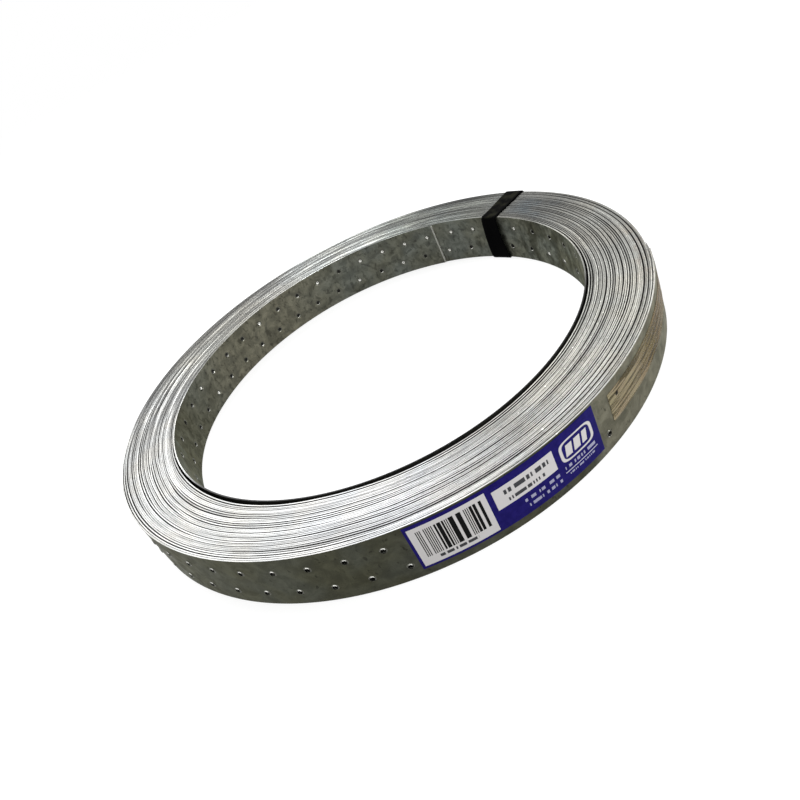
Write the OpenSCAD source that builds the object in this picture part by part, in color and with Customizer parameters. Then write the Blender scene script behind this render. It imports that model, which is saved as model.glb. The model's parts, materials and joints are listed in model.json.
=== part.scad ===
// Roll of punched galvanised strap, lying flat: the wound strap, its tie,
// its product label and the tape that holds the outer end down.
// All sizes are in millimetres. The winding axis is Z and the rest plane is z = 0.

/* [Strap] */
// Width of the strap, which is the height of the roll's wall
strap_width = 30; // [10:0.5:60]
// Thickness of the steel
strap_thickness = 0.8; // [0.5:0.1:1.6]
// Distance between neighbouring holes of one row, along the strap
hole_pitch = 17.5; // [10:0.5:40]
// Diameter of each punched hole
hole_diameter = 3; // [1:0.1:6]
// Distance between the two rows of holes, across the strap
row_spacing = 13.4; // [6:0.1:30]
// How far the lower row runs ahead of the upper row, along the strap
row_stagger = 6.5; // [0:0.1:20]

/* [Winding] */
// Inside diameter of the roll, measured across the loose first turn
bore_diameter = 250.8; // [150:0.2:400]
// Number of turns wound tight outside the loose first turn
wound_turns = 32; // [10:1:60]
// Mean gap that the winding leaves between two tight turns
mean_gap = 0.2; // [0.05:0.01:0.6]
// Mean gap between the loose first turn and the tight turns
loose_gap = 1.1; // [0.3:0.05:3]
// How far the loose turn is pressed to the back, off the winding axis
loose_shift = 1; // [0:0.05:2]
// How far the edge of a turn stands out of line at most
edge_wander = 0.5; // [0:0.05:1.5]
// Depth of the open gap between two tight turns, at each end of the roll
gap_depth = 4; // [1:0.5:6]
// Depth of the open gap beside the loose first turn, at each end of the roll
loose_gap_depth = 12; // [2:0.5:13]
// Width of the slit at each cut end of the strap
end_slit = 0.4; // [0.2:0.1:1]
// Direction of the strap's inner end, in degrees
inner_end_angle = 53.5; // [0:0.5:360]
// Direction of the strap's outer end, in degrees
outer_end_angle = 338; // [0:0.5:360]
// Direction of the first upper hole on the inner face, in degrees
inner_hole_angle = 56.6; // [0:0.1:360]
// Direction of the first upper hole on the outer face, in degrees
outer_hole_angle = 340.3; // [0:0.1:360]

/* [Tie] */
// Width of the tie band
tie_width = 13; // [6:0.5:25]
// Thickness of the tie band
tie_thickness = 0.5; // [0.3:0.05:1.2]
// Slack between the tie band and the steel
tie_slack = 0.05; // [0.02:0.01:0.3]
// Direction of the tie band, in degrees
tie_angle = 32.3; // [0:0.5:360]

/* [Label] */
// Length of the label along the outer face
label_length = 93.5; // [30:0.5:200]
// Height of the label
label_height = 25; // [10:0.5:30]
// Height of the label's lower edge above the strap's lower edge
label_rise = 4; // [0:0.5:10]
// Thickness of the label
label_thickness = 0.12; // [0.05:0.01:0.5]
// Direction of the end at which the label starts, in degrees
label_angle = 261.3; // [0:0.1:360]

/* [End tape] */
// Length of the tape along the outer face
tape_length = 125; // [30:1:250]
// Width of the tape
tape_width = 14.5; // [5:0.5:30]
// Height of the tape's lower edge above the strap's lower edge
tape_rise = 11; // [0:0.5:20]
// Thickness of the tape
tape_thickness = 0.15; // [0.05:0.01:0.5]
// Direction of the end at which the tape starts, in degrees
tape_angle = 298.7; // [0:0.1:360]

/* [Part] */
// Which piece to draw

/* [Hidden] */
$fn = 180;
seat_gap = 0.12;            // between the outer face and what is stuck on it
over = 0.05;                // how far a cut runs past a wall that it opens
tool = 2;                   // how far a cutting tool stands out of the steel
bore_r = bore_diameter / 2;
wound_r = bore_r + strap_thickness + loose_gap;
outer_r = turn_r(wound_turns - 1) + strap_thickness;
base_z = tie_thickness + tie_slack;     // lower edge of the lowest turn
roll_height = strap_width + edge_wander;
loose_rise = edge_wander * 0.4;
outer_rise = turn_rise(wound_turns - 1);

// A number from 0 to 1 that changes without order from one turn to the next
function scatter(i, seed) = let (s = sin(i * 137.5 + seed) * 43.7) s - floor(s);
// Shares of the total slack that each gap takes, closed and open ones mixed
function share(i) = 0.25 + 1.1 * scatter(i, 11) + (scatter(i, 63) > 0.8 ? 1.2 : 0);
function shares(i) = i < 0 ? 0 : share(i) + shares(i - 1);
function slack(i) = mean_gap * (wound_turns - 1) * shares(i - 1) / shares(wound_turns - 2);
function turn_r(i) = wound_r + i * strap_thickness + slack(i);
function turn_rise(i) = edge_wander * scatter(i, 29);

// Cross-section of the tight turns: each stands at its own height, and the
// gaps between them are open down to gap_depth at both ends
function lower_side() = [
    for (i = [0 : wound_turns - 1])
        let (r0 = turn_r(i), r1 = r0 + strap_thickness, z = turn_rise(i))
            each i == wound_turns - 1 ? [[r0, z], [r1, z]] :
                let (floor_z = max(z, turn_rise(i + 1)) + gap_depth)
                    [[r0, z], [r1, z], [r1, floor_z], [turn_r(i + 1), floor_z]]
];
function upper_side() = [
    for (k = [0 : wound_turns - 1])
        let (i = wound_turns - 1 - k, r0 = turn_r(i), r1 = r0 + strap_thickness,
             z = turn_rise(i) + strap_width)
            each i == 0 ? [[r1, z], [r0, z]] :
                let (floor_z = min(z, turn_rise(i - 1) + strap_width) - gap_depth)
                    [[r1, z], [r0, z], [r0, floor_z],
                     [turn_r(i - 1) + strap_thickness, floor_z]]
];

module tight_turns() {
    rotate_extrude() polygon(concat(lower_side(), upper_side()));
}

// The loose first turn, and the steel that joins it to the next one at half height
module loose_turn() {
    difference() {
        union() {
            translate([0, loose_shift, loose_rise])
                cylinder(r = bore_r + strap_thickness, h = strap_width);
            translate([0, 0, loose_rise + loose_gap_depth])
                cylinder(r = wound_r + strap_thickness / 2,
                         h = strap_width - 2 * loose_gap_depth);
        }
        translate([0, loose_shift, -tool])
            cylinder(r = bore_r, h = roll_height + 2 * tool);
    }
}

// One hole through a wall whose inner side is at radius r
module punch(angle, r, depth, z) {
    rotate([0, 0, angle]) translate([r, 0, z]) rotate([0, 90, 0])
        cylinder(d = hole_diameter, h = depth, $fn = 32);
}

module holes(r, from_r, depth, first_angle, rise) {
    step = hole_pitch / r * 180 / PI;
    lead = row_stagger / r * 180 / PI;
    count = floor(360 / step);
    mid_z = rise + strap_width / 2;
    for (k = [0 : count - 1]) {
        punch(first_angle + k * step, from_r, depth, mid_z + row_spacing / 2);
        punch(first_angle + k * step + lead, from_r, depth, mid_z - row_spacing / 2);
    }
}

// The slit that shows where the strap is cut off
module end_cut(angle, from_r, depth) {
    rotate([0, 0, angle]) translate([from_r, -end_slit / 2, -tool])
        cube([depth, end_slit, roll_height + 2 * tool]);
}

module strap_coil() {
    color("#8d9189") translate([0, 0, base_z]) difference() {
        union() {
            tight_turns();
            loose_turn();
        }
        holes(outer_r, outer_r - strap_thickness, strap_thickness + tool,
              outer_hole_angle, outer_rise);
        end_cut(outer_end_angle, outer_r - strap_thickness + over,
                strap_thickness + tool);
        translate([0, loose_shift, 0]) {
            holes(bore_r, bore_r - tool, strap_thickness + tool + over,
                  inner_hole_angle, loose_rise);
            end_cut(inner_end_angle, bore_r - tool, strap_thickness + tool + over);
        }
    }
}

// Everything between the roll's faces, widened by d on all sides
module wall_envelope(d) {
    difference() {
        translate([0, 0, base_z - d]) cylinder(r = outer_r + d, h = roll_height + 2 * d);
        translate([0, loose_shift, base_z - d - tool])
            cylinder(r = bore_r - d, h = roll_height + 2 * d + 2 * tool);
    }
}

module tie_band() {
    color("#26251f") intersection() {
        difference() {
            wall_envelope(tie_slack + tie_thickness);
            wall_envelope(tie_slack);
        }
        rotate([0, 0, tie_angle]) translate([bore_r / 2, -tie_width / 2, -tool])
            cube([outer_r, tie_width, base_z + roll_height + 3 * tool]);
    }
}

// A thin strip stuck on the outer face
module strip_on_face(start, length, rise, height, thickness) {
    seat_r = outer_r + seat_gap;
    rotate([0, 0, start]) rotate_extrude(angle = length / outer_r * 180 / PI)
        translate([seat_r, base_z + outer_rise + rise]) square([thickness, height]);
}

module label() {
    color("#211c6e")
        strip_on_face(label_angle, label_length, label_rise, label_height, label_thickness);
}

module end_tape() {
    color("#8c8270")
        strip_on_face(tape_angle, tape_length, tape_rise, tape_width, tape_thickness);
}

strap_coil();
tie_band();
label();
end_tape();
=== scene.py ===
"""Looks for a flat roll of punched galvanised strap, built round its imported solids."""

import json
import math

import bpy
import numpy as np
from mathutils import Matrix, Vector
from mathutils.geometry import delaunay_2d_cdt


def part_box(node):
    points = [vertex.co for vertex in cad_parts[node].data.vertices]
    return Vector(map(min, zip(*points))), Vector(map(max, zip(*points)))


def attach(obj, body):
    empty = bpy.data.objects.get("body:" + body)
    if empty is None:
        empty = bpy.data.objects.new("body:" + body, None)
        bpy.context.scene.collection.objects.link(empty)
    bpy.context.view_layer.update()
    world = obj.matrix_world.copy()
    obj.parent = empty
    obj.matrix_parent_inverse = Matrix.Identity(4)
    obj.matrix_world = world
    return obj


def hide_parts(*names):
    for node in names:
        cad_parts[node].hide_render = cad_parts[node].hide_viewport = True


MM = 0.001

# Camera, fitted to the rims and the rows of holes in the photograph
CAM_TILT = 0.5775  # looks down by this, radians
CAM_ROLL = 0.4853  # turned about its own axis, radians
CAM_DISTANCE = 428.958  # from the middle of the roll's foot, mm
CAM_SIDE, CAM_UP = 0.3854, 16.3749
CAM_LENS, CAM_SENSOR = 32.257, 36.0

# Lamps: name, azimuth and elevation in degrees, distance, size, power
LAMPS = [
    ("key", 116, 47, 1.6, 1, 20), ("back", 78, 52, 1.6, 0.75, 9), ("left", 205, 25, 1.5, 0.8, 2.5),
    ("front", 295, 35, 1.6, 0.8, 4), ("right", 335, 22, 1.4, 0.6, 9)]
WORLD_LIGHT, WORLD_SEEN = 0.75, 1.0  # as it lights the roll, and as it is seen
FLOOR_HALF = 4000.0
FLOOR_GREY = (0.3, 0.3, 0.3, 1)
FLOOR_GLOW = 0.78  # lifts the seen floor to the white of its surroundings

# Winding, in mm and degrees
STEPS = 180  # stations in one turn
INNER_END = 53.5  # direction of the strap's inner end
OUTER_END = 338.0  # direction of its outer end
TURNS = 33  # as many as the length of strap on the label fills
PITCH = 17.5  # between the holes of one row
ROWS = 13.4  # between the rows
LEAD = 6.5  # how far the lower row runs ahead
INNER_HOLE = 56.6  # direction of the first hole on the inner face
MOST_HOLES = 60  # more than one row has in a turn
EDGE_WANDER = 0.5  # how far a turn's edge stands out of line at most
EDGE_LEVEL = 0.2  # height of most edges inside that
SEAM_GAP = 0.05
WIDEST_GAP = 0.52  # between two tight turns
UNDER_END = 120.0  # degrees in which the first turn makes room for its own end
# Open gap between the loose first turn and the second, by direction
LOOSE = [
    (53.5, 0.05), (180, 0.08), (188, 0.6), (204, 1.3), (212, 1.7), (224, 2.3), (236, 2.2),
    (246, 1.7), (254, 1.8), (262, 2.4), (276, 2.5), (292, 2.1), (300, 1.85), (308, 1.65),
    (316, 1.45), (324, 1.3), (332, 1.1), (345, 0.8), (366, 0.55), (384, 0.2), (400, 0.06),
    (413.5, 0.05)]

# Gaps that stand widest: radius, first and last direction, strength
WIDE = [
    (128.4, 186, 250, 3), (128.2, 258, 350, 2.4), (129.2, 262, 352, 2.8), (134.9, 198, 236, 2.2),
    (136.5, 158, 192, 1.8), (142.1, 184, 216, 2.2), (143.6, 206, 254, 1.8), (148.1, 172, 206, 2.2),
    (157, 176, 252, 2.8), (151.8, 284, 322, 2), (154.2, 292, 326, 1.8), (153.9, 316, 352, 1.9),
    (146.7, 278, 336, 2), (143.4, 322, 354, 1.9), (139.1, 290, 316, 1.8), (136, 302, 338, 1.8),
    (149.7, 292, 318, 1.5), (157.8, 318, 388, 2.2), (156, 330, 384, 1.9), (147.7, 342, 372, 1.5),
    (132.3, 342, 370, 1.5), (144.5, 312, 330, 1.5), (152.7, 248, 278, 0.6), (155.6, 232, 262, 0.7),
    (139.3, 214, 246, 1.2), (146.6, 220, 248, 1.5)]

# Brightness of the edges by direction, partly tarnish and partly painted light and shade from how
# the lamps fall on the top: direction in degrees, then the share of the colour that is left
PATINA_AND_LIGHT = [
    (-180, 0.66), (-165, 0.66), (-150, 0.56), (-135, 0.51), (-118, 0.5), (-102, 0.49), (-90, 0.45),
    (-75, 0.27), (-60, 0.36), (-45, 0.48), (-30, 0.59), (-15, 0.52), (0, 0.54), (15, 0.25),
    (38, 0.34), (47, 0.35), (61, 0.51), (68, 0.6), (75, 0.88), (83, 0.95), (91, 0.93), (98, 0.7),
    (105, 0.5), (120, 0.49), (135, 0.51), (150, 0.65), (165, 0.75), (180, 0.66)]
# Where the outermost edges are darker: first and last direction, how soft, radii, share
RIM_DARKER = [
    (106, 160, 5, (0.1488, 0.1512), 0.62), (40, 62, 6, (0.1495, 0.1545), 0.5),
    (-28, 14, 6, (0.1545, 0.1562), 0.2), (108, 168, 5, (0.1555, 0.1565), 0.5),
    (34, 76, 5, (0.1568, 0.1576), 0.5)]
# The same for the edge of the first turn, whose near side is darkened nearly to black as painted
# shade; a share below 0 is brighter, painted highlight at the back
FIRST_SHADE_AND_HIGHLIGHT = [(-158, -24, 10, 0.97), (104, 162, 8, 0.35), (58, 100, 8, -0.6), (-8, 58, 6, -0.4)]
# Tints of the edges: first and last direction, how soft, colour
EDGE_TINTS = [(36, 72, 8, (0.94, 1, 0.95)), (72, 103, 8, (0.965, 1, 0.99)),
              (-122, -86, 10, (0.98, 0.985, 1.02))]

# Section of the strap: offset through the thickness, height, both from its corner
CROWN = [(0, 0.06), (0.04, 0.012), (0.11, 0), (0.69, 0), (0.76, 0.012), (0.8, 0.06)]
TILT = 0.035  # how far one corner of an edge stands over the other, half

# Punched holes as they look, in mm
HOLE_SEEN = 1.25  # radius left open inside the lip
OUTER_LIP, INNER_LIP = 0.5, 0.4  # how far the lips stand out
PRESSED_LIP = 0.06  # the same under the label and the tape
LIP_FRONT, LIP_BACK = 0.75, 1.0  # how far a lip spreads on the outer and the inner side
BURR_HOLE = 0.32  # radius left open inside a folded burr
BURR_REACH = 0.95
BURR_SLOPE = 0.45
END_CLEAR = 3.2  # no hole lies nearer to a cut end
COLUMN = 3.0  # width of the plain mesh between holes
GRID_ROWS = 11
GRID_CLEAR = 3.6  # distance from a hole at which the plain mesh starts
# Rings of mesh round a hole: distance from its edge, number of points
RINGS = ((0, 22), (0.14, 22), (0.3, 22), (0.5, 20), (0.75, 18), (1.2, 14), (1.9, 12))
BURR_RINGS = ((BURR_HOLE - HOLE_SEEN, 12), (BURR_REACH - HOLE_SEEN, 18))
FAR = 1e9
# Clear film that closes holes: first and last direction, lowest and highest point on the strap
FILM = [(294.4, 296.6, 18, 26), (299.2, OUTER_END, 4, 12), (304, OUTER_END, 18, 26)]
STRIP_MARGIN = 2  # a lip this near to the label or the tape is pressed flat too
HIGHLIGHT_BELOW = 290  # from this direction on, the painted highlight on the lips lies on their lower side
TAPE_HOLE = 301.5  # direction of the hole whose painted shade shows on the tape
# the fourth slot is pale cut steel, also used as painted highlight on lips; the fifth is
# near-black steel, painted shade
FACE, EDGE, LIP, CUT_AND_HIGHLIGHT, PAINTED_SHADE = range(5)  # slots of a punched turn's materials

# Tie, in mm
TIE_THICK = 0.5
TIE_BEND = 1.1  # radius of its bends
TIE_INNER, TIE_OUTER = 0.35, 0.3  # slack beside the wall
TIE_BULGE = 1.3  # how far it bulges into the bore
TIE_FLARE = 1.5  # how much wider its outer end is

# Print on the label in the order it is laid down: colour, then blocks as left, right, low and
# high in mm from its left end and its foot; rows of dashes add cell, inked share, seed, beat
PRINT_SOFT = 0.00008  # how soft its edges are
PALE = (0.61, 0.595, 0.59)
PRINT = [
    (PALE, [(1.3, 35.6, 1.2, 23.2), (38.2, 68.2, 10.6, 21.2)]),
    ((0, 0, 0), [(4, 33.6, 5.6, 20.8, 0.42, 0.3, 77, 2)]),
    ((0.05, 0.05, 0.055), [(9, 26.5, 3, 4.6, 0.8, 0.6, 11), (43, 65.5, 16.4, 18.8, 0.75, 0.62, 31),
                           (44, 62, 12.2, 14, 0.7, 0.6, 52)]),
    ((0.34, 0.34, 0.46), [(49, 68, 6.4, 8, 0.6, 0.55, 71), (51, 68.5, 3, 4.6, 0.6, 0.55, 93),
                          (71.5, 90, 7, 8.6, 0.8, 0.62, 113), (73, 91, 3.4, 4.3, 0.5, 0.5, 131)]),
    ((0.5, 0.5, 0.58), [(71, 90.5, 5.3, 5.75)])]
BADGE_BARS = [(71.6, 75.2), (76.4, 80), (81.2, 84)]

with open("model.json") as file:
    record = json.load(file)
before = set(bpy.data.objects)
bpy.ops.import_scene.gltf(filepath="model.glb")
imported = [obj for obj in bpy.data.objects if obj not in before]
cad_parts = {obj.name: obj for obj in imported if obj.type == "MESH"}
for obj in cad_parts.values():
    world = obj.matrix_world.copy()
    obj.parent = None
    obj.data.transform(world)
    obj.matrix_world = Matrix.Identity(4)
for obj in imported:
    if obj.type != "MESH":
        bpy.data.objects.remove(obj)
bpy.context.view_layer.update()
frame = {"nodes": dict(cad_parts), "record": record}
mounts = {m["name"]: m for m in frame["record"]["mounts"]}
bore, hole = mounts["centre_bore"], mounts["strap_hole_01"]
coil_lo, coil_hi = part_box("strap_coil")

BORE_R, WIDTH = bore["dims"]["r_mm"], bore["dims"]["length_mm"]
BORE_Y = bore["pos_m"][1] / MM
OUTER_R, BASE = coil_hi.x / MM, coil_lo.z / MM
THICK = hole["dims"]["length_mm"]
OUTER_RISE = hole["pos_m"][2] / MM - BASE - WIDTH / 2 - ROWS / 2
LOOSE_RISE = bore["pos_m"][2] / MM - BASE - WIDTH / 2
# Height and lead of the two rows of holes
HOLE_ROWS = ((WIDTH / 2 + ROWS / 2, 0.0), (WIDTH / 2 - ROWS / 2, LEAD))


def direction(mount):
    """Direction of a mount from the winding axis, in radians."""
    x, y, _ = mounts[mount]["pos_m"]
    return math.atan2(y, x)


# ---- winding

def smooth(x):
    x = np.clip(x, 0.0, 1.0)
    return x * x * (3 - 2 * x)


def wandering(rng, start, end, knot, values, where):
    """A line that eases from one random value to the next, read at where."""
    knots = [start]
    while knots[-1] < end:
        knots.append(knots[-1] + rng.uniform(*knot))
    knots = np.array(knots)
    heights = np.array([values(rng) for _ in knots])
    i = np.clip(np.searchsorted(knots, where, side="right") - 1, 0, len(knots) - 2)
    f = smooth((where - knots[i]) / (knots[i + 1] - knots[i]))
    return heights[i] * (1 - f) + heights[i + 1] * f


def gap_weight(rng):
    """Most gaps are nearly closed, and a few stand open."""
    kind = rng.uniform()
    if kind < 0.66:
        return rng.uniform(0.02, 0.16)
    if kind < 0.88:
        return rng.uniform(0.6, 1.5)
    return rng.uniform(1.8, 3.6)


def edge_height(rng):
    """Most turns stand nearly level, and a few stand out."""
    if rng.uniform() < 0.14:
        return rng.uniform(0.02, EDGE_WANDER)
    return float(np.clip(rng.normal(EDGE_LEVEL, 0.035), 0.02, EDGE_WANDER))


def even_out(weight, theta):
    """At the back the gaps are alike, so that they read as soft streaks."""
    back = smooth((theta - 20) / 30) * smooth((175 - theta) / 25)
    return weight * (1 - back) + (0.7 + 0.3 * weight) * back


def pair_up(weight, theta, turn):
    """On the right the gaps keep their width for long, some shut and some open."""
    rng = np.random.default_rng(23)
    count = TURNS + 1
    odd = (np.arange(count) % 2 == 1) ^ (rng.uniform(size=count) < 0.2)
    steady = np.where(odd, rng.uniform(1.3, 2.0, count), rng.uniform(0.02, 0.12, count))[turn]
    right = smooth((theta - 276) / 24) * smooth((408 - theta) / 22)
    return weight * (1 - right) + steady * right


def first_radius(theta):
    """Inner face of the first turn: a circle about the bore's own axis."""
    a = np.radians(theta)
    return BORE_Y * np.sin(a) + np.sqrt(BORE_R ** 2 - (BORE_Y * np.cos(a)) ** 2)


def loose_gap(theta):
    """Open gap between the loose first turn and the second, in mm."""
    return np.interp(theta, *zip(*LOOSE))


def mark_wide_gaps(weight, phi, top):
    """Opens the gaps listed in WIDE; each follows the strap for a while."""
    for radius, a, b, strength in WIDE:
        mid = (a + b) / 2
        inner = float(first_radius(mid)) + THICK
        inner += float(loose_gap(mid))
        pitch = (top - inner) / (TURNS - 2)
        turn = 1 + round((radius - inner - THICK) / pitch)
        x = (phi - 360 * turn - a) / (b - a)
        weight += strength * smooth(np.minimum(x, 1 - x) * 3.2)
    return weight


def share_out(slack, weight):
    """Divides the slack between the gaps by weight, with none wider than WIDEST_GAP."""
    share = slack * weight / weight.sum()
    for _ in range(4):
        over = np.maximum(share - WIDEST_GAP, 0).sum()
        share = np.minimum(share, WIDEST_GAP)
        room = (share < WIDEST_GAP) * (weight + 0.1)
        share += over * room / room.sum()
    return share * slack / share.sum()


def gap_weights(rng, phi, last, top):
    """How much of the slack each gap asks for, at each station."""
    weight = np.minimum(wandering(rng, INNER_END, last + 60, (14, 44), gap_weight, phi), 2.0)
    theta = (phi - INNER_END) % 360 + INNER_END
    weight = even_out(weight, theta)
    weight = pair_up(weight, theta, ((phi - INNER_END) // 360).astype(int))
    weight = mark_wide_gaps(weight, phi, top)
    easing = smooth((phi - INNER_END - 360) / 40.0)
    return 0.3 * (1 - easing) + weight * easing


def edge_rises(rng, phi, last):
    """How high the strap's lower edge stands at each station."""
    rise = wandering(rng, INNER_END, last + 400, (50, 170), edge_height, phi)
    inner = smooth((phi - INNER_END - 250) / 160.0)
    rise = LOOSE_RISE * (1 - inner) + rise * inner
    outer = smooth((phi - (last - 420)) / 60.0)
    return rise * (1 - outer) + OUTER_RISE * outer


def wind():
    """Angle, inner-face radius, rise and length of the strap at each station, from inside out."""
    rng = np.random.default_rng(41)
    step = 360.0 / STEPS
    last = OUTER_END + 360.0 * (TURNS - 1)
    count = int((last - INNER_END) // step) + 1
    phi = INNER_END + step * np.arange(count + 1)
    top = OUTER_R - THICK
    weight = gap_weights(rng, phi, last, top)
    first = phi[:STEPS]
    loose = loose_gap(first)
    rho = np.zeros(count + 1)
    rho[:STEPS] = first_radius(first) + (THICK + SEAM_GAP) * smooth(
        (first - (INNER_END + 360 - UNDER_END)) / UNDER_END)
    under = None
    for i in range(STEPS):
        full = phi[i] <= OUTER_END
        gaps = TURNS - 1 if full else TURNS - 2
        target = top
        if not full:
            back = (phi[i] - OUTER_END) / (INNER_END + 360 - OUTER_END)
            target = under + (top - under) * smooth(back)
        slack = target - rho[i] - gaps * THICK - loose[i]
        share = share_out(slack, weight[i + STEPS * np.arange(1, gaps)])
        gap = np.concatenate([[loose[i]], share])
        rho[i + STEPS * np.arange(1, gaps + 1)] = rho[i] + np.cumsum(gap + THICK)
        if full:
            under = top - THICK - share[-1]
    phi[-1], rho[-1] = last, rho[-2]
    rise = edge_rises(rng, phi, last)
    arc = np.concatenate([[0], np.cumsum(np.radians(np.diff(phi)) * (rho[1:] + rho[:-1]) / 2)])
    return phi, rho, rise, arc


def stretch(strap, start, stop):
    """The strap's stations between two angles, with one at each of them."""
    phi = strap[0]
    where = np.concatenate([[start], phi[(phi > start + 1e-6) & (phi < stop - 1e-6)], [stop]])
    return (where, *(np.interp(where, phi, line) for line in strap[1:]))


def open_beside(rho):
    """How open the gap is on the inner and on the outer side of each station, 0 to 1."""
    gap = rho[STEPS:] - rho[:-STEPS] - THICK
    share = 0.3 + 0.7 * smooth((gap - 0.16) / 0.16)
    shut = np.zeros(STEPS)
    return np.concatenate([shut, share]), np.concatenate([share, shut])


# ---- plain meshes

def show(name, data):
    """A new object in the scene."""
    obj = bpy.data.objects.new(name, data)
    bpy.context.scene.collection.objects.link(obj)
    return obj


def new_object(name, verts, faces, uvs=None, slots=None, smoothing=True):
    """verts in mm; uvs as one pair for each corner, in m; slots as one index for each face."""
    mesh = bpy.data.meshes.new(name)
    mesh.from_pydata([tuple(v) for v in (np.asarray(verts) * MM).tolist()], [], faces)
    if uvs is not None:
        layer = mesh.uv_layers.new(name="along")
        layer.data.foreach_set("uv", np.asarray(uvs, np.float32).ravel())
    if slots is not None:
        mesh.polygons.foreach_set("material_index", np.asarray(slots, np.int32))
    if smoothing:
        mesh.polygons.foreach_set("use_smooth", np.ones(len(mesh.polygons), bool))
    mesh.update()
    return show(name, mesh)


def ribbon(name, phi, rho, rise, arc, before, after):
    """The plain strap along the winding, with rounded slit edges."""
    section = CROWN + [(d, WIDTH - h) for d, h in reversed(CROWN)]
    m, n = len(section), len(phi)
    off, high = np.array(section).T
    a = np.radians(phi)[:, None]
    r = rho[:, None] + off[None, :]
    lean = wandering(np.random.default_rng(7), phi[0], phi[-1], (20, 90),
                     lambda g: g.uniform(-TILT, TILT), phi)
    z = BASE + rise[:, None] + high[None, :]
    z += lean[:, None] * (off[None, :] / THICK - 0.5) * 2
    verts = np.stack([r * np.cos(a), r * np.sin(a), z], -1).reshape(-1, 3)
    faces, uvs, slots = [], [], []
    across = np.append(high, high[0]) * MM + np.append(off, off[0]) * MM
    for j in range(m):
        k = (j + 1) % m
        edge = 0 if j in (len(CROWN) - 1, m - 1) else 1
        va, vb = across[j], across[j + 1]
        for i in range(n - 1):
            faces.append((i * m + j, (i + 1) * m + j, (i + 1) * m + k, i * m + k))
            ua, ub = arc[i] * MM, arc[i + 1] * MM
            uvs.extend([(ua, va), (ub, va), (ub, vb), (ua, vb)])
            slots.append(edge)
    for i, turn in ((0, 1), (n - 1, -1)):
        loop = [i * m + j for j in range(m)][::turn]
        faces.append(tuple(loop))
        uvs.extend([(arc[i] * MM, high[v % m] * MM) for v in loop])
        slots.append(1)
    obj = new_object(name, verts, faces, uvs, slots)
    beside = np.repeat(np.stack([before, after, 0 * before], -1), m, axis=0)
    layer = obj.data.attributes.new("beside", "FLOAT_VECTOR", "POINT")
    layer.data.foreach_set("vector", beside.astype(np.float32).ravel())
    return obj


# ---- punched turns

class Wall:
    """Surface of one turn, by distance along it (x) and height on it (z), in mm."""

    def __init__(self, stations, holes, heights, folded):
        self.phi, self.rho, self.rise, self.arc = stations
        self.start = self.arc[0]
        self.holes = list(zip(holes, heights, folded))

    def raised(self, x, z, reach):
        """How far lips and folded burrs stand out."""
        out = np.zeros(len(x))
        for (hx, hz), height, fold in self.holes:
            close = np.abs(x - hx) < HOLE_SEEN + reach
            d = np.hypot(x[close] - hx, z[close] - hz)
            f = np.clip((d - HOLE_SEEN) / reach, 0, 1)
            out[close] += (height * (1 - f) ** 2 * (1 + 1.2 * f)
                           + BURR_SLOPE * fold * np.maximum(HOLE_SEEN - d, 0))
        return out

    def angle(self, x):
        return np.radians(np.interp(x + self.start, self.arc, self.phi))

    def at(self, x, z, offset, reach):
        """Points at an offset from the inner face, with lips that spread over reach."""
        s = x + self.start
        r = np.interp(s, self.arc, self.rho) + offset + self.raised(x, z, reach)
        a = self.angle(x)
        up = BASE + np.interp(s, self.arc, self.rise) + z
        return np.stack([r * np.cos(a), r * np.sin(a), up], -1)

    def normals(self, x, z, offset, reach, sign):
        e = 0.05
        du = self.at(x + e, z, offset, reach) - self.at(x - e, z, offset, reach)
        dz = self.at(x, z + e, offset, reach) - self.at(x, z - e, offset, reach)
        n = np.cross(du, dz) * sign
        return n / np.maximum(np.linalg.norm(n, axis=1), 1e-12)[:, None]


class Skin:
    """Points and faces of a turn, gathered piece by piece."""

    def __init__(self):
        self.verts, self.normals, self.uvs, self.faces, self.slots = [], [], [], [], []

    def add_points(self, verts, normals, uvs):
        """Adds points and gives their numbers."""
        first = sum(map(len, self.verts))
        self.verts.append(verts)
        self.normals.append(normals)
        self.uvs.append(uvs)
        return list(range(first, first + len(verts)))

    def add_faces(self, faces, slots):
        self.faces += faces
        self.slots += slots

    def finish(self, name):
        """Makes the object. Its last two faces are the strap's flat cut ends."""
        corner_shade = np.concatenate([np.array(f) for f in self.faces])
        uvs = (np.concatenate(self.uvs) * MM)[corner_shade]
        obj = new_object(name, np.concatenate(self.verts), self.faces, uvs, self.slots)
        normals = np.concatenate(self.normals)[corner_shade]
        for face in list(obj.data.polygons)[-2:]:
            face.use_smooth = False
            normals[face.loop_start:face.loop_start + face.loop_total] = tuple(face.normal)
        obj.data.normals_split_custom_set([tuple(n) for n in normals])
        return obj


def under_strips(holes, strips):
    """Which holes lie under a strip; each strip is (from, to, low, high)."""
    under = np.zeros(len(holes), bool)
    for a, b, low, high in strips:
        under |= ((holes[:, 0] > a) & (holes[:, 0] < b)
                  & (holes[:, 1] > low) & (holes[:, 1] < high))
    return under


def folded_burrs(holes, length):
    """Which holes keep a burr that is folded in: most near the ends, few in the lower row."""
    to_end = length - holes[:, 0]
    share = np.select([np.minimum(holes[:, 0], to_end) < 70, to_end < 220], [0.95, 0.1], 0.42)
    share = np.where(holes[:, 1] > WIDTH / 2, share, 0.14)
    return np.random.default_rng(21).random(len(holes)) < share


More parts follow.
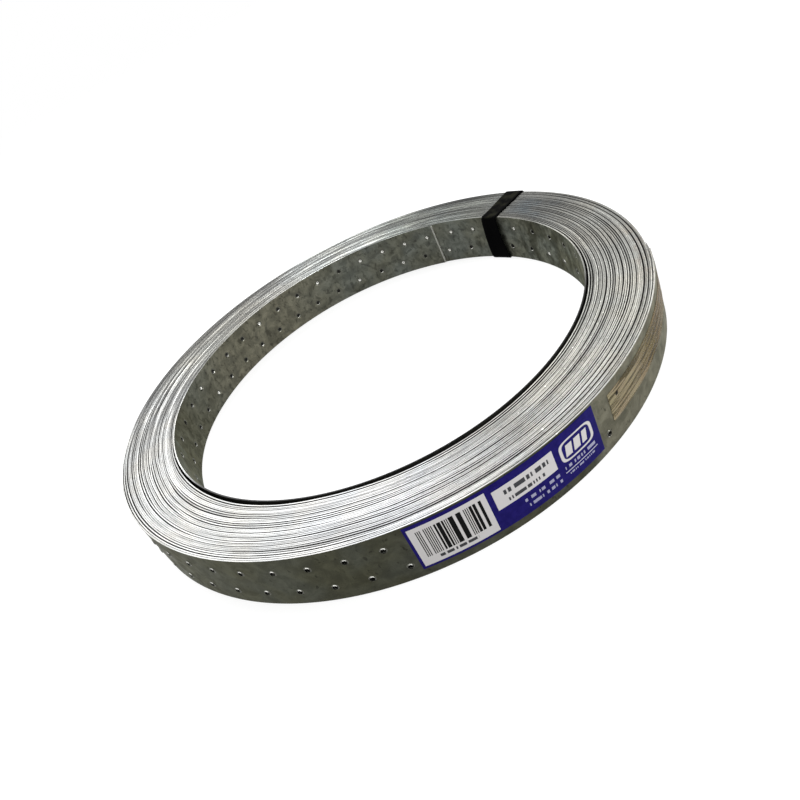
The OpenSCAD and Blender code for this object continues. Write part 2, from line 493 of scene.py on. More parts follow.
def cut_sheet(length, holes, closed, folded):
    """Cuts the unrolled turn into triangles round its holes. Gives the columns, the points, the
    triangles and, as lists of points, both rims, both ends and the edges of the open holes."""
    low, high = CROWN[0][1], WIDTH - CROWN[0][1]
    cols = np.linspace(0, length, int(length / COLUMN))
    rows = np.linspace(low, high, GRID_ROWS)[1:-1]
    points, edges = [], []

    def add(new):
        points.extend(new)
        return list(range(len(points) - len(new), len(points)))

    def join(numbers):
        edges.extend(zip(numbers[:-1], numbers[1:]))

    rims = [add([(x, z) for x in cols]) for z in (low, high)]
    for rim in rims:
        join(rim)
    ends, rings = [], []
    for x, corner in ((0.0, 0), (length, -1)):
        ends.append(add([(x, z) for z in rows]))
        join([rims[0][corner]] + ends[-1] + [rims[1][corner]])
    add([(x, z) for z in rows for x in cols[1:-1]
         if np.min((holes[:, 0] - x) ** 2 + (holes[:, 1] - z) ** 2) > GRID_CLEAR ** 2])
    for (hx, hz), shut, fold in zip(holes, closed, folded):
        for number, (d, sides) in enumerate(BURR_RINGS + RINGS if fold else RINGS):
            turns = [2 * math.pi * (s + 0.5 * (number % 2)) / sides for s in range(sides)]
            ring = add([(hx + (HOLE_SEEN + d) * math.cos(t),
                         hz + (HOLE_SEEN + d) * math.sin(t)) for t in turns])
            join(ring + ring[:1])
            if number == 0 and not shut:
                rings.append(ring)
    points = [Vector(p) for p in points]
    flat, _, tris, origin, _, _ = delaunay_2d_cdt(points, edges, [], 0, 1e-6)
    at = {old: new for new, olds in enumerate(origin) for old in olds}
    rims, ends, rings = ([[at[i] for i in line] for line in lines]
                         for lines in (rims, ends, rings))
    return cols, np.array([tuple(p) for p in flat]), np.array(tris), rims, ends, rings


def sort_triangles(co, tri, holes, closed, folded, side, highlight_below_from):
    """Leaves out the triangles inside open holes and gives each other one its slot."""
    mid = co[tri].mean(1)
    near, nearest = np.full(len(mid), FAR), np.zeros(len(mid), int)
    for k, centre in enumerate(holes):
        dist = np.hypot(*(mid - centre).T)
        closer = dist < near
        near[closer], nearest[closer] = dist[closer], k
    rng = np.random.default_rng(3)
    highlight_reach = np.array([rng.uniform(0.2, 0.34) if side > 0 else rng.choice((-1.0, 0.12, 0.2, 0.3))
                     for _ in holes])
    shut = closed[nearest]
    kept = (near > np.where(folded[nearest], BURR_HOLE, HOLE_SEEN) * 0.93) | shut
    tri, near, nearest, mid, shut = (a[kept] for a in (tri, near, nearest, mid, shut))
    near[shut] = FAR
    facing = np.where(co[tri[:, 0], 0] > highlight_below_from, -side, side)
    aside, above = (mid - holes[nearest]).T * facing
    burr = folded[nearest]
    # painted highlight: a crescent of pale cut steel on the side of a lip that faces the lamps;
    # folded burrs take the same steel, partly their bare metal and partly painted highlight
    lip_highlight = (near < HOLE_SEEN + highlight_reach[nearest]) & (above > 0.5) & ~burr
    lip_highlight &= (aside > -0.45) & (aside < 1.1)
    lip_highlight |= burr & (near < BURR_REACH)
    return tri, np.where(lip_highlight, CUT_AND_HIGHLIGHT, np.where(near < HOLE_SEEN + 0.5, LIP, FACE)).tolist()


def round_edge(skin, wall, cols, rim, behind, outward):
    """The rounded slit edge from the inner face to the outer one; gives its lines of points."""
    lines = [behind]
    a = wall.angle(cols)
    for d, h in CROWN[1:-1]:
        z = np.full(len(cols), h if outward < 0 else WIDTH - h)
        lean = (d - THICK / 2) * 0.3
        n = np.stack([np.cos(a) * lean, np.sin(a) * lean, np.full(len(cols), float(outward))], -1)
        lines.append(skin.add_points(wall.at(cols, z, d, LIP_BACK),
                                     n / np.linalg.norm(n, axis=1)[:, None],
                                     np.stack([cols + wall.start, z + d], -1)))
    lines.append(rim)
    for p, q in zip(lines[:-1], lines[1:]):
        quads = [(p[i], p[i + 1], q[i + 1], q[i])[::-outward] for i in range(len(cols) - 1)]
        skin.add_faces(quads, [EDGE] * len(quads))
    return lines


def punched_turn(name, stations, holes, lip_height, side, covers=(), film=(), highlight_below_from=FAR):
    """One turn with holes at (distance, height) punched through. covers lists (from, to, low,
    high) where lips are pressed flat, and film the same where clear film closes holes. side is 1
    for the outer turn and -1 for the inner one, where some burrs are folded in. Each lip carries a
    painted highlight of pale cut steel on its upper side, and past the distance given last on its
    lower side."""
    length = stations[3][-1] - stations[3][0]
    holes = np.array([h for h in holes if END_CLEAR < h[0] < length - END_CLEAR])
    folded = folded_burrs(holes, length) & (side < 0)
    closed = under_strips(holes, film)
    heights = np.where(closed | under_strips(holes, covers), PRESSED_LIP, lip_height)
    cols, co, tri, rims, ends, rings = cut_sheet(length, holes, closed, folded)
    tri, shade = sort_triangles(co, tri, holes, closed, folded, side, highlight_below_from)
    wall, skin, count = Wall(stations, holes, heights, folded), Skin(), len(co)
    for offset, reach, sign in ((THICK, LIP_FRONT, 1), (0.0, LIP_BACK, -1)):
        skin.add_points(wall.at(*co.T, offset, reach), wall.normals(*co.T, offset, reach, sign),
                        co + [wall.start, 0])
    tri = tri.tolist()
    # the inner turn's outer face is seen only down the loose gap, so it takes the near-black steel
    # as painted shade
    skin.add_faces([tuple(t) for t in tri], shade if side > 0 else [PAINTED_SHADE] * len(tri))
    skin.add_faces([(a + count, c + count, b + count) for a, b, c in tri], shade)
    for ring in rings:
        for i, (v, w) in enumerate(zip(ring, ring[1:] + ring[:1])):
            # hole walls: the lower ones, facing up, take the lip's steel; the rest take the
            # near-black steel as painted shade
            low = math.sin(2 * math.pi * (i + 0.5) / len(ring)) < -0.75
            skin.add_faces([(v, v + count, w + count, w)], [LIP if low else PAINTED_SHADE])
    lower, upper = (round_edge(skin, wall, cols, rim, [v + count for v in rim], outward)
                    for rim, outward in zip(rims, (-1, 1)))
    for i, turn, end in ((0, 1, ends[0]), (-1, -1, ends[1])):
        loop = [line[i] for line in lower] + end + [line[i] for line in reversed(upper)]
        loop += [v + count for v in reversed(end)]
        skin.add_faces([tuple(loop[::turn])], [CUT_AND_HIGHLIGHT])
    return skin.finish(name)


# ---- node helpers

class Nodes:
    """Short words for building a node tree."""

    def __init__(self, owner):
        owner.use_nodes = True
        self.owner, self.tree = owner, owner.node_tree
        self.tree.nodes.clear()

    def add(self, kind, **values):
        """A new node; each value sets or is linked to the property or input of its name."""
        node = self.tree.nodes.new("ShaderNode" + kind)
        for key, value in values.items():
            if hasattr(node, key):
                setattr(node, key, value)
            else:
                self.put(node.inputs[key.replace("_", " ")], value)
        return node

    def put(self, socket, value):
        if hasattr(value, "is_linked"):
            self.tree.links.new(value, socket)
        else:
            socket.default_value = value

    def feed(self, node, *values):
        """Puts values into a node's inputs in their order, and gives its first output."""
        for socket, value in zip(node.inputs, values):
            self.put(socket, value)
        return node.outputs[0]

    def math(self, op, a, b=0, c=0):
        return self.feed(self.add("Math", operation=op), a, b, c)

    def minus(self, a, b):
        return self.math("SUBTRACT", a, b)

    def times(self, value, *factors):
        for factor in factors:
            value = self.math("MULTIPLY", value, factor)
        return value

    def blend(self, a, b, share_a, share_b):
        return self.math("ADD", self.times(a, share_a), self.times(b, share_b))

    def distance(self, a, b):
        return self.math("SQRT", self.blend(a, b, a, b))

    def left(self, amount, share):
        """What is left of 1 when a share of it goes where amount is 1."""
        return self.minus(1, self.times(amount, share))

    def ease(self, value, a, b, low=0, high=1, kind="SMOOTHSTEP"):
        node = self.add("MapRange", interpolation_type=kind)
        return self.feed(node, value, a, b, low, high)

    def vary(self, noise, low=0, high=1):
        """A noise, spread from low to high."""
        return self.ease(noise, 0.3, 0.7, low, high)

    def window(self, value, low, high, soft, kind="SMOOTHSTEP"):
        """1 from low to high and 0 outside."""
        return self.times(self.ease(value, low - soft, low + soft, kind=kind),
                          self.ease(value, high - soft, high + soft, 1, 0, kind))

    def ramp(self, value, stops):
        node = self.add("ValToRGB")
        points = node.color_ramp.elements
        for where, _ in stops[1:-1]:
            points.new(where)
        for point, (where, level) in zip(points, stops):
            point.position, point.color = where, (level, level, level, 1)
        return self.feed(node, value)

    def mix_number(self, factor, a, b):
        node = self.add("Mix", data_type="FLOAT")
        for i, value in zip((0, 2, 3), (factor, a, b)):
            self.put(node.inputs[i], value)
        return node.outputs[0]

    def mix(self, factor, a, b, kind="MIX"):
        node = self.add("Mix", data_type="RGBA", blend_type=kind)
        self.put(node.inputs[0], factor)
        for i, value in ((6, a), (7, b)):
            self.put(node.inputs[i], value if hasattr(value, "is_linked") else (*value, 1))
        return node.outputs[2]

    def shaded(self, tint, shade):
        """A tint made darker or lighter by a grey."""
        grey = self.feed(self.add("CombineColor"), shade, shade, shade)
        return self.mix(1, tint, grey, "MULTIPLY")

    def noise(self, where, scale, detail=3, rough=0.6, warp=0):
        return self.add("TexNoise", Vector=where, Scale=scale, Detail=detail,
                        Roughness=rough, Distortion=warp).outputs[0]

    def stretched(self, where, across, along=1):
        return self.add("Mapping", Vector=where, Scale=(along, across, 1)).outputs[0]

    def split(self, vector):
        return tuple(self.add("SeparateXYZ", Vector=vector).outputs)

    def uv(self):
        return self.add("UVMap", uv_map="along").outputs[0]

    def spot(self):
        return self.add("TexCoord").outputs["Object"]

    def bump(self, height, distance, strength):
        return self.add("Bump", Height=height, Distance=distance, Strength=strength).outputs[0]

    def shader(self, colour, rough, metallic, normal, **others):
        """Ends the tree with a surface and gives its material."""
        node = self.add("BsdfPrincipled", Base_Color=colour, Roughness=rough,
                        Metallic=metallic, Normal=normal, **others)
        self.add("OutputMaterial", Surface=node.outputs[0])
        return self.owner

    def place(self):
        """Direction in degrees (-180 to 180) and distance from the winding axis in m."""
        x, y, _ = self.split(self.spot())
        turn = self.times(self.math("ARCTAN2", y, x), 180 / math.pi)
        return turn, self.distance(x, y)

    def on_face(self):
        """Distance along the outer face in m from direction 270 degrees, and height in m."""
        x, y, z = self.split(self.spot())
        return self.times(self.math("ARCTAN2", x, self.times(y, -1)), OUTER_R * MM), z

    def seen(self):
        """1 for what the camera sees, also mirrored or through the tape, and 0 for light."""
        path = self.add("LightPath").outputs
        straight = self.math("MAXIMUM", path["Is Camera Ray"], path["Is Glossy Ray"])
        return self.math("MAXIMUM", straight, path["Is Transmission Ray"])


def material(name):
    return Nodes(bpy.data.materials.new(name))


# ---- steel

def zinc_face(name, tone, metallic, tints, dust_and_sheen, mottle, stain, patchy, burr=0):
    """Wide faces: dull olive zinc with spangle, mottling and smudges, lifted on the left as
    painted light. The lightened stretch and patchy start with directions; that stretch is dust in
    the bore and painted light on the outside. burr is how wide a bright burr with a painted
    highlight runs beside the cut end, in m."""
    n = material(name)
    uv, (turn, _) = n.uv(), n.place()
    wobble = n.add("TexNoise", Vector=uv, Scale=240)
    warp = n.feed(n.add("VectorMath", operation="MULTIPLY_ADD"),
                  wobble.outputs["Color"], (0.004, 0.004, 0), uv)
    cells = n.add("TexVoronoi", feature="SMOOTH_F1", Vector=warp, Scale=260, Smoothness=0.35)
    spangle = n.add("SeparateColor", Color=cells.outputs["Color"]).outputs[0]
    cloud = n.noise(uv, 150, 4, 0.62, 0.6)
    patch = n.noise(uv, 46, 2, 0.5)
    smudge = n.noise(n.stretched(uv, 0.7), 300, 3, 0.6, 0.5)
    run = n.noise(n.stretched(uv, 0.5), 125)
    grain = n.noise(uv, 1500, 2)
    # painted light: the faces round 200 to 230 degrees are lifted by up to 0.3
    painted_lift = n.window(turn, -170, -118, 14)
    *arc, strength = dust_and_sheen
    # the lightened stretch: dust in the bore, painted light on the outside
    film = n.times(n.window(turn, *arc), n.ease(cloud, 0.25, 0.6, 0.8, 1))
    shade = n.times(n.math("MULTIPLY_ADD", spangle, 0.26 * tone, 0.87 * tone),
                    n.ease(cloud, 0.34, 0.68, *mottle),
                    n.vary(patch, 0.92, 1.08),
                    n.ease(smudge, *stain, 1),
                    n.mix_number(n.window(turn, *patchy), 1, n.ease(run, 0.4, 0.58, 0.58, 1.18)),
                    n.vary(grain, 0.94, 1.06),
                    n.math("MULTIPLY_ADD", painted_lift, 0.3, 1),
                    n.math("MULTIPLY_ADD", film, strength, 1))
    tint = n.mix(n.ease(patch, 0.35, 0.65), *tints)
    tint = n.mix(film, tint, (0.104, 0.1, 0.074))
    tint = n.mix(n.ease(turn, 148, 166, 0, 0.7), tint, (0.098, 0.096, 0.07))
    colour = n.shaded(tint, shade)
    if burr:
        # bright burr beside the inner cut end, partly bare steel and partly painted highlight
        burr_glint = n.ease(n.split(uv)[0], burr * 0.7, burr, 0.85, 0)
        colour = n.mix(burr_glint, colour, (0.34, 0.34, 0.31))
    rough = n.math("MULTIPLY_ADD", spangle, 0.16, n.vary(cloud, 0.5, 0.38))
    height = n.blend(grain, spangle, 0.25, 0.5)
    return n.shader(colour, rough, metallic, n.bump(height, 0.00003, 0.7), Specular_IOR_Level=0.15,
                    Specular_Tint=(0.4, 0.4, 0.31, 1))


def corner_shade(n, uv, right):
    """Painted shade on an edge's corners beside the open gaps, most of all on the right."""
    v = n.split(uv)[1]
    upper = n.math("GREATER_THAN", v, WIDTH * MM / 2)
    across = n.math("DIVIDE", n.minus(v, n.times(upper, WIDTH * MM)), THICK * MM)
    beside = n.add("Attribute", attribute_name="beside").outputs["Vector"]
    before, after, _ = n.split(beside)
    dark = n.math("MAXIMUM", n.times(n.ease(across, 0.05, 0.34, 1, 0), before),
                  n.times(n.ease(across, 0.66, 0.95), after))
    return n.left(dark, n.mix_number(right, 0.3, 0.95))


def edge_shade(n, turn, away, along, fine, first_turn):
    """Light and dark of the slit edges, by direction and from turn to turn. The brightness by
    direction is partly tarnish and partly painted light and shade from how the lamps fall; the
    dark corners beside open gaps are painted shade, and the bright specks on the right are painted
    glints.
    """
    uv = n.uv()
    streak = n.noise(n.stretched(uv, 12), 60)
    right, back = n.window(turn, -78, 24, 10), n.window(turn, 40, 172, 12)
    # painted glints: small bright specks on the edges, strongest on the right
    glint = n.noise(n.spot(), 520, 1, 0.5)
    circle = n.math("MULTIPLY_ADD", turn, 1 / 360, 0.5)
    # brightness by direction: partly tarnish, partly painted light and shade
    patina_and_light = n.ramp(circle, [((a + 180) / 360, level) for a, level in PATINA_AND_LIGHT])
    polar = n.add("CombineXYZ", X=n.times(away, 300), Y=n.times(n.math("ABSOLUTE", turn), 0.035))
    group = n.noise(polar.outputs[0], 1, 3, 0.65, 0.4)
    shade = n.mix_number(right, n.ease(along, 0.32, 0.68, 0.7, 1.22),
                         n.ease(along, 0.38, 0.6, 1.2, 1.95))
    shade = n.times(shade, n.mix_number(right, 1, n.ease(glint, 0.74, 0.78, 1, 2.4)),
                    corner_shade(n, uv, right),
                    n.vary(streak, 0.84, 1.14),
                    n.times(patina_and_light, 2),
                    n.ease(fine, 0.25, 0.75, 0.95, 1.05),
                    n.mix_number(back, 1, n.ease(along, 0.38, 0.62, 0.62, 1.42)),
                    n.mix_number(back, n.vary(group, 0.86, 1.14),
                                 n.ease(group, 0.38, 0.64, 0.32, 1.3)),
                    # a darker stretch round the tie, partly tarnish and partly painted shade
                    n.left(n.window(turn, -12, 58, 14), 0.22))
    for *arc, near_rim, share in RIM_DARKER:
        band = n.times(n.window(turn, *arc), n.ease(away, *near_rim))
        shade = n.times(shade, n.left(band, share))
    # the first turn's edge: painted shade on the near side, painted highlight at the back
    for *arc, share in FIRST_SHADE_AND_HIGHLIGHT if first_turn else ():
        shade = n.times(shade, n.left(n.window(turn, *arc), share))
    return shade


def edge_tint(n, turn, away):
    """Colour of the slit edges: warm, cold and rusty in places."""
    blotch = n.noise(n.spot(), 55, 3, 0.55)
    tint = n.mix(n.ease(blotch, 0.35, 0.65), (0.204, 0.201, 0.19), (0.194, 0.197, 0.194))
    warm = n.math("MAXIMUM", n.window(turn, -70, 35, 12), n.window(turn, 110, 150, 10))
    tint = n.mix(warm, tint, (1.01, 1, 0.945), "MULTIPLY")
    for *arc, colour in EDGE_TINTS:
        tint = n.mix(n.window(turn, *arc), tint, colour, "MULTIPLY")
    cold = n.times(n.window(turn, 13, 27, 4), n.window(away, 0.131, 0.149, 0.004),
                   n.ease(blotch, 0.36, 0.6, 0.3, 1))
    tint = n.mix(cold, tint, (0.13, 0.152, 0.162))
    rust = n.times(n.window(turn, -34, -8, 5), n.ease(away, 0.149, 0.153),
                   n.ease(n.noise(n.spot(), 160), 0.45, 0.62), 0.25)
    return n.mix(rust, tint, (0.16, 0.115, 0.085))


def zinc_edge(name, first_turn=False):
    """Slit edges: brighter, drawn along the strap, rusty in places, tarnished and given painted
    light and shade by direction.
    """
    n = material(name)
    turn, away = n.place()
    along = n.noise(n.stretched(n.uv(), 40), 7)
    fine = n.noise(n.stretched(n.uv(), 12), 260, 2)
    colour = n.shaded(edge_tint(n, turn, away), edge_shade(n, turn, away, along, fine, first_turn))
    return n.shader(colour, n.vary(fine, 0.25, 0.35), 1, n.bump(fine, 0.00003, 0.6))


def plain_zinc(name, where, noise, colours, rough, metallic, bump, **others):
    """Steel of one colour that a fine noise varies; where gives the noise its place."""
    n = material(name)
    fine = n.noise(where(n), *noise)
    return n.shader(n.mix(n.vary(fine), *colours), n.vary(fine, *rough), metallic,
                    n.bump(fine, *bump), **others)


def plain_zincs():
    """Lips, rubbed bright; cut ends, pale and scored by the shear and lightened further as painted
    highlight, whose steel also paints highlights on lips and burrs; near-black steel as painted
    shade in the gaps, in holes and on faces that lie in shadow.
    """
    lip = plain_zinc("zinc_lip", Nodes.uv, (1200, 2), ((0.07, 0.07, 0.058), (0.11, 0.11, 0.095)),
                     (0.16, 0.26), 1, (0.00002, 0.5))
    cut = plain_zinc("zinc_cut", lambda n: n.stretched(n.spot(), 6, 6), (400, 2),
                     ((0.62, 0.62, 0.58), (0.85, 0.85, 0.8)), (0.4, 0.55), 0.6, (0.00003, 0.6))
    # near-black steel: painted shade for gaps, holes and faces in shadow
    gap = plain_zinc("zinc_shaded", Nodes.spot, (900,),
                     ((0.008, 0.008, 0.007), (0.02, 0.02, 0.017)), (0.5, 0.7), 0.3,
                     (0.00005, 0.8), Specular_IOR_Level=0.1)
    return lip, cut, gap


# ---- label, tape and tie

def rectangle(n, s, h, s0, s1, h0, h1):
    """A printed block."""
    return n.times(n.window(s, s0, s1, PRINT_SOFT, "LINEAR"),
                   n.window(h, h0, h1, PRINT_SOFT, "LINEAR"))


def dashes(n, s, cell, share, seed, beat=0):
    """Short dashes of uneven length, standing for a line of print."""
    count = n.math("FLOOR", n.math("DIVIDE", s, cell))
    chance = n.add("TexWhiteNoise", noise_dimensions="1D", W=n.math("ADD", count, seed)).outputs[0]
    if beat:
        marked = n.math("LESS_THAN", n.math("MODULO", count, beat), 1)
        share = n.math("MULTIPLY_ADD", marked, 0.45, share)
    return n.math("LESS_THAN", chance, share)


def badge_line(n, s, h):
    """The outline of a bare badge with round corners."""
    parts = [n.math("ABSOLUTE", n.minus(n.math("DIVIDE", value, half), mid / half))
             for value, mid, half in ((s, 80.8, 9.6), (h, 15.4, 5.4))]
    box = n.math("ADD", *(n.math("POWER", part, 4.5) for part in parts))
    return n.times(n.ease(box, 0.94, 1.06, 1, 0), n.ease(box, 0.42, 0.52))


def label_material(s0, h0):
    """Navy label: a pale panel of bars, a pale panel and rows of plain dashes, a bare badge.
    s0 and h0 are its left end and its foot, in m; the print is placed from them in mm."""
    n = material("label_print")
    s, h = (n.times(n.minus(value, start), 1000) for value, start in zip(n.on_face(), (s0, h0)))
    mottle = n.noise(n.spot(), 420, 4, 0.6)
    colour = n.mix(n.vary(mottle), (0.006, 0.0035, 0.088), (0.01, 0.006, 0.118))
    for ink, rows in PRINT:
        for row in rows:
            block = rectangle(n, s, h, *row[:4])
            if row[4:]:
                block = n.times(block, dashes(n, s, *row[4:]))
            colour = n.mix(block, colour, ink)
    colour = n.mix(badge_line(n, s, h), colour, PALE)
    slant = n.minus(s, n.times(h, 0.18))
    for a, b in BADGE_BARS:
        colour = n.mix(rectangle(n, slant, h, a, b, 12.4, 18.2), colour, PALE)
    colour = n.mix(n.ease(mottle, 0.2, 0.8, 0, 0.015), colour, (0.2, 0.2, 0.24))
    return n.shader(colour, n.vary(mottle, 0.34, 0.46), 0, n.bump(mottle, 0.00002, 0.5),
                    Specular_IOR_Level=0.05)


def tape_material(hole_s, hole_h):
    """Clear tan tape, drawn into fine streaks, with painted shade where it lies over a hole."""
    n = material("tan_tape")
    s, h = n.on_face()
    where = n.add("CombineXYZ", X=s, Y=h).outputs[0]
    streak = n.noise(n.stretched(where, 17), 34, 4, 0.62, 0.25)
    fine = n.noise(n.stretched(where, 27), 60)
    cloud = n.noise(where, 60, 2, 0.5)
    warm = n.mix(n.ease(cloud, 0.35, 0.65), (0.295, 0.264, 0.168), (0.31, 0.255, 0.172))
    colour = n.mix(n.ease(streak, 0.39, 0.56), (0.08, 0.066, 0.034), warm)
    tone = n.mix(n.ease(s, 0.098, 0.124), (1.22, 1.19, 1.12), (0.64, 0.55, 0.36))
    colour = n.mix(1, colour, tone, "MULTIPLY")
    aside, above = n.minus(s, hole_s), n.minus(h, hole_h)
    # painted shade: a dark spot where the tape lies over an open hole
    painted_hole = n.ease(n.distance(aside, above), 0.0007, 0.0013, 1, 0)
    colour = n.mix(painted_hole, colour, (0.008, 0.007, 0.005))
    height = n.blend(streak, fine, 0.7, 0.3)
    return n.shader(colour, n.vary(fine, 0.3, 0.5), 0, n.bump(height, 0.00008, 0.8),
                    Specular_IOR_Level=0.12, Alpha=n.vary(fine, 0.45, 0.7))


def tie_material(angle):
    """Black band, matt; the run across the top is lighter, partly dust and partly painted light on
    the upward faces, and one edge is left black as painted shade.
    """
    n = material("tie_rubber")
    spot = n.spot()
    x, y, _ = n.split(spot)
    facing = n.split(n.add("NewGeometry").outputs["Normal"])
    dust = n.noise(spot, 150, 4, 0.6)
    fine = n.noise(spot, 1500, 2)
    aside = n.minus(n.times(y, math.cos(angle)), n.times(x, math.sin(angle)))
    # upward faces lighter from dust and painted light; one edge stays black as painted shade
    dust_and_top_light = n.times(n.ease(facing[2], 0.3, 0.9), n.ease(dust, 0.4, 0.62),
                      n.ease(aside, -0.0052, -0.0036))
    colour = n.mix(dust_and_top_light, (0.0004, 0.0004, 0.0005), (0.0098, 0.0098, 0.0062))
    height = n.blend(dust, fine, 0.6, 0.4)
    return n.shader(colour, n.vary(fine, 0.82, 1), 0, n.bump(height, 0.00015, 0.7),
                    Specular_IOR_Level=0.03)


def bend(across, up, first, half):
    """Two stations round a bend of the band, clockwise from the direction first."""
    turns = [math.radians(first - a) for a in (30, 60)]
    return [(across + TIE_BEND * math.cos(t), up + TIE_BEND * math.sin(t), half) for t in turns]


def tie_path(inner, outer, low, high):
    """Once round the wall: radius, height and half the width, clockwise from the inner foot."""
    near, far, foot, head = inner + TIE_BEND, outer - TIE_BEND, low + TIE_BEND, high - TIE_BEND
    path = []
    for z in np.linspace(foot, head, 12):
        f = (high - z) / (high - low)
        path.append((inner - TIE_BULGE * math.sin(math.pi * f) ** 0.8, z, 6.1 + 1.7 * f ** 1.3))
    path += bend(near, head, 180, 6.1)
    run = np.linspace(0, 1, 12)
    path += [(near + f * (far - near), high, 6.0 + 0.3 * f) for f in run]
    path += bend(far, head, 90, 6.4)
    path += [(outer + 0.05, z, 6.5) for z in np.linspace(head, foot, 10)]
    path += bend(far, foot, 0, 6.6)
    path += [(near + f * (far - near), low, 6.6) for f in run[::-1]]
    return path + bend(near, foot, -90, 7.2)


def tie_wrap(name, angle):
    """Flat band taken once round the wall, a little slack and wider towards its foot."""
    low, high = 0.25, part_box("tie_band")[1].z / MM - 0.28
    inner = float(first_radius(math.degrees(angle))) - TIE_INNER
    outer = OUTER_R + TIE_OUTER
    path, cols = tie_path(inner, outer, low, high), np.linspace(-1, 1, 9)
    verts = []
    for r, z, half in path:
        flare = TIE_FLARE * smooth((r - inner - 8) / (outer - inner - 8)) if z > WIDTH / 2 else 0
        for c in cols:
            y = c * half + max(c, 0) * flare
            x = math.sqrt(r * r - y * y)
            verts.append((x * math.cos(angle) - y * math.sin(angle),
                          x * math.sin(angle) + y * math.cos(angle), z))
    m, n = len(cols), len(path)
    faces = [(i * m + j, k * m + j, k * m + j + 1, i * m + j + 1)
             for i, k in zip(range(n), [*range(1, n), 0]) for j in range(m - 1)]
    obj = new_object(name, verts, faces)
    thick = obj.modifiers.new("thickness", "SOLIDIFY")
    thick.thickness, thick.offset = TIE_THICK * MM, 0.0
    soft = obj.modifiers.new("soft", "SUBSURF")
    soft.levels = soft.render_levels = 1
    return obj


# ---- stage

def make_floor():
    verts = [(x * FLOOR_HALF, y * FLOOR_HALF, 0) for x, y in ((-1, -1), (1, -1), (1, 1), (-1, 1))]
    floor = new_object("floor", verts, [(0, 1, 2, 3)], smoothing=False)
    n = material("floor_white")
    diffuse = n.add("BsdfDiffuse", Color=FLOOR_GREY)
    glow = n.add("Emission", Strength=n.times(n.seen(), FLOOR_GLOW))
    both = n.feed(n.add("AddShader"), diffuse.outputs[0], glow.outputs[0])
    n.add("OutputMaterial", Surface=both)
    floor.data.materials.append(n.owner)


def make_world():
    world = bpy.data.worlds.new("studio")
    bpy.context.scene.world = world
    n = Nodes(world)
    strength = n.ease(n.seen(), 0.0, 1.0, WORLD_LIGHT, WORLD_SEEN, "LINEAR")
    back = n.add("Background", Color=(1, 1, 1, 1), Strength=strength)
    n.add("OutputWorld", Surface=back.outputs[0])


def make_lamp(name, azimuth, elevation, distance, size, power):
    """Soft square lamp aimed at the roll; azimuth runs counter-clockwise from +X."""
    data = bpy.data.lights.new(name, "AREA")
    data.shape, data.size, data.energy = "SQUARE", size, power
    lamp = show(name, data)
    a, e = math.radians(azimuth), math.radians(elevation)
    away = Vector((math.cos(a) * math.cos(e), math.sin(a) * math.cos(e), math.sin(e)))
    lamp.location = away * distance
    lamp.rotation_mode = "QUATERNION"
    lamp.rotation_quaternion = away.to_track_quat("Z", "Y")


def make_camera():
    data = bpy.data.cameras.new("camera")
    data.sensor_width, data.lens = CAM_SENSOR, CAM_LENS
    data.clip_start, data.clip_end = 0.01, 30.0
    cam = show("camera", data)
    ce, se = math.cos(CAM_TILT), math.sin(CAM_TILT)
    look = Vector((0, ce, -se))
    right, up = Vector((1, 0, 0)), Vector((0, se, ce))
    spot = -look * CAM_DISTANCE - right * CAM_SIDE - up * CAM_UP + Vector((0, 0, BASE))
    cr, sr = math.cos(CAM_ROLL), math.sin(CAM_ROLL)
    turn = Matrix((right * cr - up * sr, right * sr + up * cr, -look)).transposed()
    cam.matrix_world = Matrix.Translation(spot * MM) @ turn.to_4x4()
    bpy.context.scene.camera = cam


# ---- build

def span(node):
    """Directions of a node's two ends and its lowest and highest point, in degrees and mm."""
    co = np.array([tuple(v.co) for v in frame["nodes"][node].data.vertices])
    a = np.degrees(np.arctan2(co[:, 1], co[:, 0])) % 360
    return a.min(), a.max(), co[:, 2].min() / MM, co[:, 2].max() / MM


def along_face(angle):
    """Distance along the outer face from direction 270 degrees, in m."""
    return math.radians(angle - 270) * OUTER_R * MM


def dress(node, mat):
    mesh = frame["nodes"][node].data
    mesh.materials.clear()
    mesh.materials.append(mat)


def direction_at(where, length):
    """Direction in degrees of a point on the outermost turn."""
    return OUTER_END - math.degrees((length - where) / OUTER_R)


def hole_drift(theta):
    """How far the photograph's holes lie off an even pitch, in mm along the strap."""
    return float(np.clip(-0.055 * (theta - 255), -2.4, 0.7) * smooth((theta - 190) / 20))


def outer_holes(anchor, length):
    """Holes of the outermost turn as (distance, height), in line with the one at anchor."""
    scale = length / (2 * math.pi * OUTER_R)
    places = []
    for k in range(-MOST_HOLES, MOST_HOLES + 1):
        for height, ahead in HOLE_ROWS:
            where = anchor + (k * PITCH + ahead) * scale
            where += hole_drift(direction_at(where, length))
            places.append((where, height))
    return places


def inner_holes():
    """Holes of the first turn as (distance, height)."""
    first = math.radians(INNER_HOLE - INNER_END) * BORE_R
    return [(first + k * PITCH + ahead, height) for k in range(-1, MOST_HOLES + 1)
            for height, ahead in HOLE_ROWS]


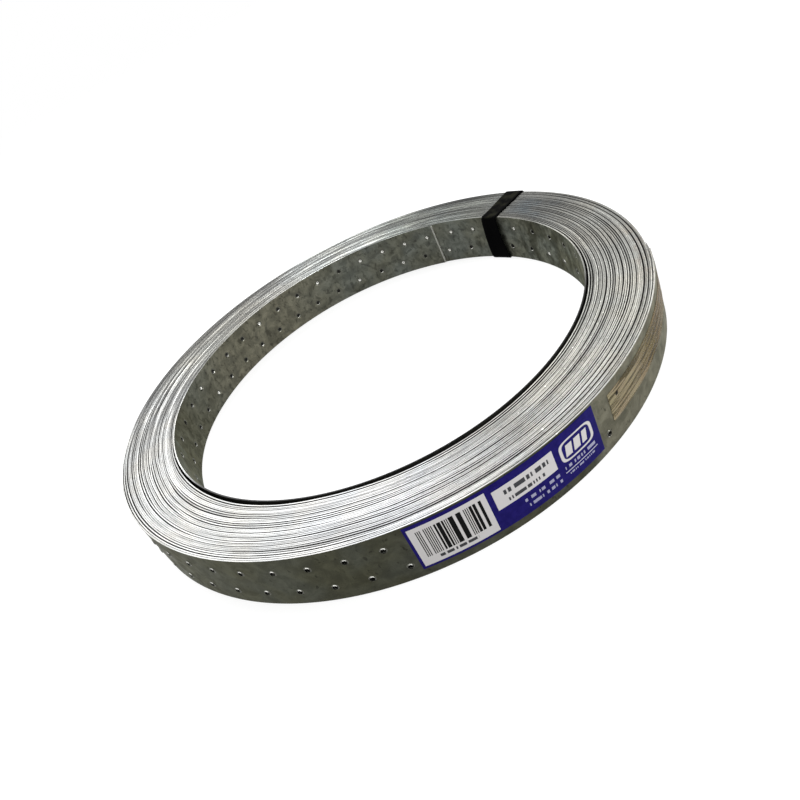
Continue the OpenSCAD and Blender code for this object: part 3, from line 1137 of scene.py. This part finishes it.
def build():
    strap = wind()
    last = strap[0][-1]
    outer = stretch(strap, last - 360, last)
    inner = stretch(strap, INNER_END, INNER_END + 360)
    between = stretch(strap, INNER_END + 360, last - 360)
    turn_angles, turn_lengths = outer[0] - 360 * (TURNS - 2), outer[3] - outer[3][0]
    length = turn_lengths[-1]

    def to_arc(angle):
        """Distance along the outermost turn of a direction in degrees."""
        angle = angle if angle > OUTER_END else angle + 360
        return float(np.interp(angle, turn_angles, turn_lengths))

    def strips(rows, margin):
        return [(to_arc(a) - margin, to_arc(min(b, OUTER_END - 0.01)) + margin,
                 low - margin, high + margin) for a, b, low, high in rows]

    label, tape = span("label"), span("end_tape")
    holes = outer_holes(to_arc(math.degrees(direction("strap_hole_03")) % 360), length)
    covers = strips([(a, b, low - BASE, high - BASE) for a, b, low, high in (label, tape)],
                    STRIP_MARGIN)
    lip, cut_and_highlight, wall = plain_zincs()
    edge, first_edge = zinc_edge("zinc_edge"), zinc_edge("zinc_first_edge", True)
    # outside and bore are one zinc; the outside's lower tone than the bore's is painted shade
    outside = zinc_face(
        "zinc_outside", 0.58, 0.4, ((0.1, 0.1, 0.066), (0.092, 0.096, 0.074)),
        dust_and_sheen=(-66, -16, 3, 1.3), mottle=(0.82, 1.16), stain=(0.3, 0.38, 0.5), patchy=(24, 60, 8))
    bore_face = zinc_face(
        "zinc_bore", 0.9, 0.75, ((0.12, 0.122, 0.095), (0.108, 0.116, 0.101)),
        dust_and_sheen=(96, 150, 16, 0.22), mottle=(0.76, 1.22), stain=(0.36, 0.46, 0.62),
        patchy=(-34, 27, 8), burr=0.001)

    outer_turn = punched_turn("outer_turn", outer, holes, OUTER_LIP, 1, covers, strips(FILM, 0),
                              to_arc(HIGHLIGHT_BELOW))
    inner_turn = punched_turn("inner_turn", inner, inner_holes(), INNER_LIP, -1)
    beside = [np.interp(between[0], strap[0], side) for side in open_beside(strap[1])]
    rest = ribbon("strap_turns", *between, *beside)
    # the wide faces of strap_turns, seen only down the gaps, take the near-black steel as painted
    # shade
    for piece, mats in ((outer_turn, (outside, edge, lip, cut_and_highlight, wall)),
                        (inner_turn, (bore_face, first_edge, lip, cut_and_highlight, wall)),
                        (rest, (wall, edge))):
        for mat in mats:
            piece.data.materials.append(mat)
        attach(piece, "root")
        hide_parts("strap_coil")

    tie_angle = direction("rest_face")
    tie = tie_wrap("tie_wrap", tie_angle)
    tie.data.materials.append(tie_material(tie_angle))
    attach(tie, "root")
    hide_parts("tie_band")

    dress("label", label_material(along_face(label[0]), label[2] * MM))
    painted_hole = min((p for p in holes if p[1] > WIDTH / 2), key=lambda p: abs(p[0] - to_arc(TAPE_HOLE)))
    dress("end_tape", tape_material(along_face(direction_at(painted_hole[0], length)),
                                    (BASE + OUTER_RISE + painted_hole[1]) * MM))


build()
make_floor()
make_world()
for lamp in LAMPS:
    make_lamp(*lamp)
make_camera()
bpy.context.scene.view_settings.view_transform = "Standard"
